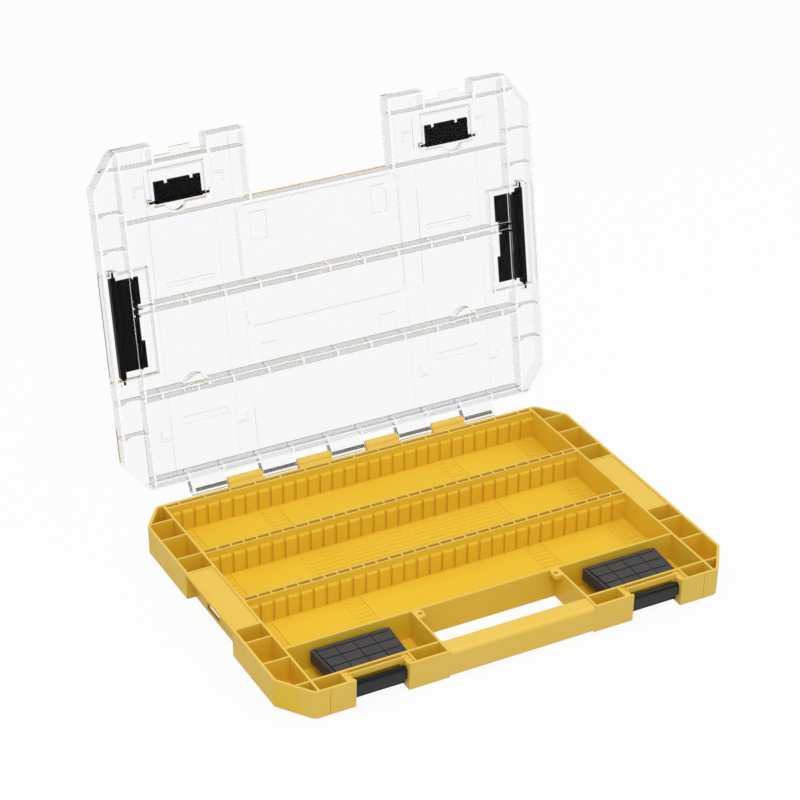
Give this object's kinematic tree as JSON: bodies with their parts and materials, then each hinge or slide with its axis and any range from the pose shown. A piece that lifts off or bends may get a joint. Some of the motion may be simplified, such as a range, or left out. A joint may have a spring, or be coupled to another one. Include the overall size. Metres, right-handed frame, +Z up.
{
  "type": "accessory case",
  "caption": "Shallow accessory case: ribbed tray with long compartments and bays, carrying handle, front latches, stacks of loose divider plates and a clear hinged lid that stands open.",
  "frame": {"origin": "centre of the tray's underside, on the surface that the case stands on", "axes": "+X along the hinge to the right-hand end, -Y towards the handle and front latches, +Z up"},
  "size_m": [0.355, 0.3252, 0.2816],
  "materials": {
    "tray_plastic": "fine matt moulded yellow polypropylene",
    "clear_plastic": "clear moulded plastic",
    "black_plastic": "satin black moulded plastic",
    "plate_plastic": "matt dark grey moulded plastic",
    "rod_steel": "dark drawn steel rod"
  },
  "bodies": {
    "tray": {"tray": "tray_plastic", "hinge_rod": "rod_steel"},
    "lid": {"lid": "clear_plastic"},
    "front_latch_right": {"front_latch_right": "black_plastic"},
    "lid_clip_right": {"lid_clip_right": "black_plastic"},
    "side_catch_right": {"side_catch_right": "black_plastic"},
    "divider_stack_right": {"divider_plate_1_right": "plate_plastic", "divider_plate_2_right": "plate_plastic", "divider_plate_3_right": "plate_plastic", "divider_plate_4_right": "plate_plastic", "divider_plate_5_right": "plate_plastic", "divider_plate_6_right": "plate_plastic"},
    "front_latch_left": {"front_latch_left": "black_plastic"},
    "lid_clip_left": {"lid_clip_left": "black_plastic"},
    "side_catch_left": {"side_catch_left": "black_plastic"},
    "divider_stack_left": {"divider_plate_1_left": "plate_plastic", "divider_plate_2_left": "plate_plastic", "divider_plate_3_left": "plate_plastic", "divider_plate_4_left": "plate_plastic", "divider_plate_5_left": "plate_plastic", "divider_plate_6_left": "plate_plastic"}
  },
  "joints": [
    {"name": "lid_hinge", "type": "hinge", "parent": "tray", "child": "lid", "pos_m": [0, 0.1356, 0.023], "axis": [-1, 0, 0], "range_deg": [-100.7, 0]},
    {"name": "front_latch_right_pivot", "type": "hinge", "parent": "tray", "child": "front_latch_right", "pos_m": [0.1088, -0.1223, 0.016], "axis": [-1, 0, 0], "range_deg": [0, 180]},
    {"name": "lid_clip_right_pivot", "type": "hinge", "parent": "lid", "child": "lid_clip_right", "pos_m": [0.1098, 0.18728, 0.23672], "axis": [-1, 0, 0], "range_deg": [0, 95]},
    {"name": "side_catch_right_pivot", "type": "hinge", "parent": "lid", "child": "side_catch_right", "pos_m": [0.168, 0.16925, 0.15261], "axis": [0, -0.1857, -0.9826], "range_deg": [0, 95]},
    {"name": "divider_stack_right_lift", "type": "slide", "parent": "tray", "child": "divider_stack_right", "axis": [0, 0, 1], "range_m": [0, 0.04]},
    {"name": "front_latch_left_pivot", "type": "hinge", "parent": "tray", "child": "front_latch_left", "pos_m": [-0.1088, -0.1223, 0.016], "axis": [-1, 0, 0], "range_deg": [0, 180]},
    {"name": "lid_clip_left_pivot", "type": "hinge", "parent": "lid", "child": "lid_clip_left", "pos_m": [-0.1098, 0.18728, 0.23672], "axis": [-1, 0, 0], "range_deg": [0, 95]},
    {"name": "side_catch_left_pivot", "type": "hinge", "parent": "lid", "child": "side_catch_left", "pos_m": [-0.168, 0.16925, 0.15261], "axis": [0, 0.1857, 0.9826], "range_deg": [0, 95]},
    {"name": "divider_stack_left_lift", "type": "slide", "parent": "tray", "child": "divider_stack_left", "axis": [0, 0, 1], "range_m": [0, 0.04]}
  ]
}
